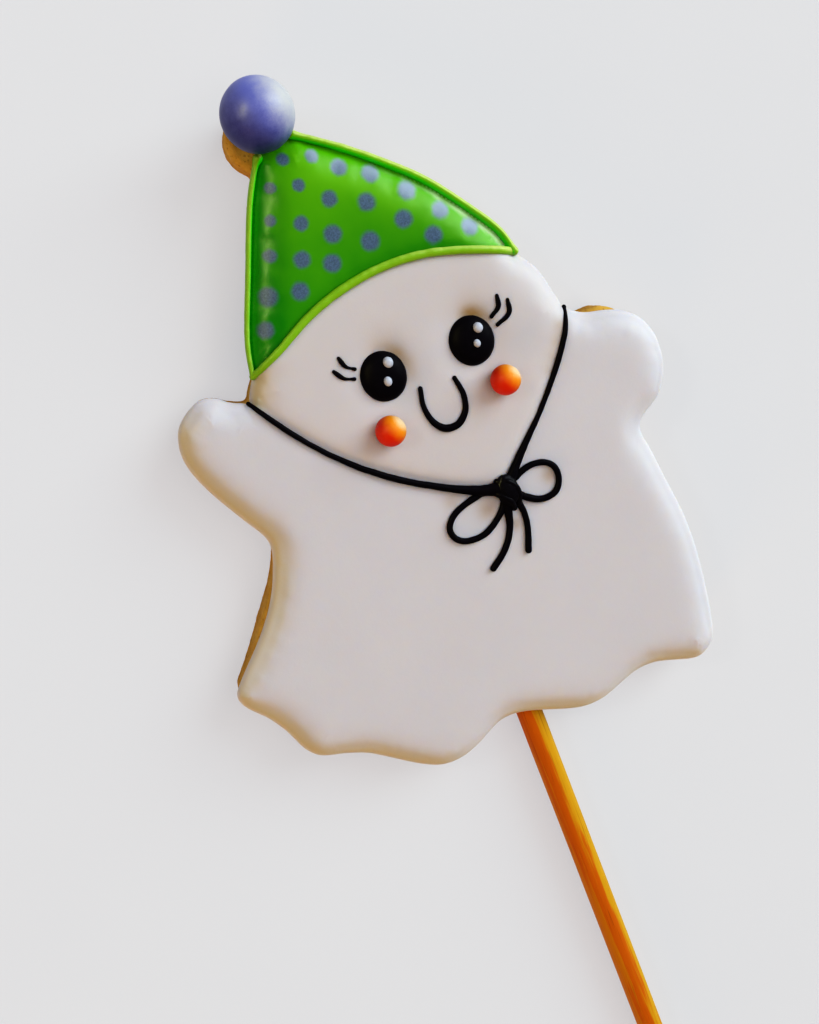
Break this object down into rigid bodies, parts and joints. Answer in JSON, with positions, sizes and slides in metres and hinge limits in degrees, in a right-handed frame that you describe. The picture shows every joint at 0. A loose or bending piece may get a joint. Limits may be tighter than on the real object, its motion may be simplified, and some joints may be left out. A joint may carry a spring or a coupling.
{
  "type": "iced sugar cookie",
  "caption": "Iced sugar cookie pop: a ghost in a spotted green party hat with a sugar ball pompom, face and bow, on a long round wooden stick.",
  "frame": {"origin": "on the flat back of the cookie, in the middle of the body on the stick's axis", "axes": "+Z out of the iced side, +Y towards the hat's tip, the stick along -Y"},
  "size_m": [0.0965, 0.3334, 0.0202],
  "materials": {
    "baked_cookie": "matt, fine crumb, browned at the edges",
    "white_icing": "smooth dried icing with a low sheen",
    "green_icing": "smooth dried icing with soft sprayed purple spots",
    "lime_icing": "piped icing line with a low sheen",
    "black_icing": "glossy piped icing",
    "white_dots": "small drops of icing",
    "purple_sugar_ball": "pearly polished sugar shell",
    "orange_sugar_ball": "satin sugar shell",
    "stick_wood": "plain round hardwood, fine grain along it"
  },
  "bodies": {
    "root": {"cookie": "baked_cookie", "stick": "stick_wood", "icing_body": "white_icing", "icing_head": "white_icing", "icing_hat": "green_icing", "hat_line_left": "lime_icing", "hat_line_right": "lime_icing", "hat_line_brim": "lime_icing", "pompom": "purple_sugar_ball", "eye_left": "black_icing", "eye_right": "black_icing", "glint_left_upper": "white_dots", "glint_left_lower": "white_dots", "glint_right_upper": "white_dots", "glint_right_lower": "white_dots", "lash_left_upper": "black_icing", "lash_left_lower": "black_icing", "lash_right_upper": "black_icing", "lash_right_lower": "black_icing", "smile": "black_icing", "cheek_left": "orange_sugar_ball", "cheek_right": "orange_sugar_ball", "string_left": "black_icing", "string_right": "black_icing", "bow_knot": "black_icing", "bow_loop_left": "black_icing", "bow_loop_right": "black_icing", "bow_tail_left": "black_icing", "bow_tail_right": "black_icing"}
  },
  "joints": []
}
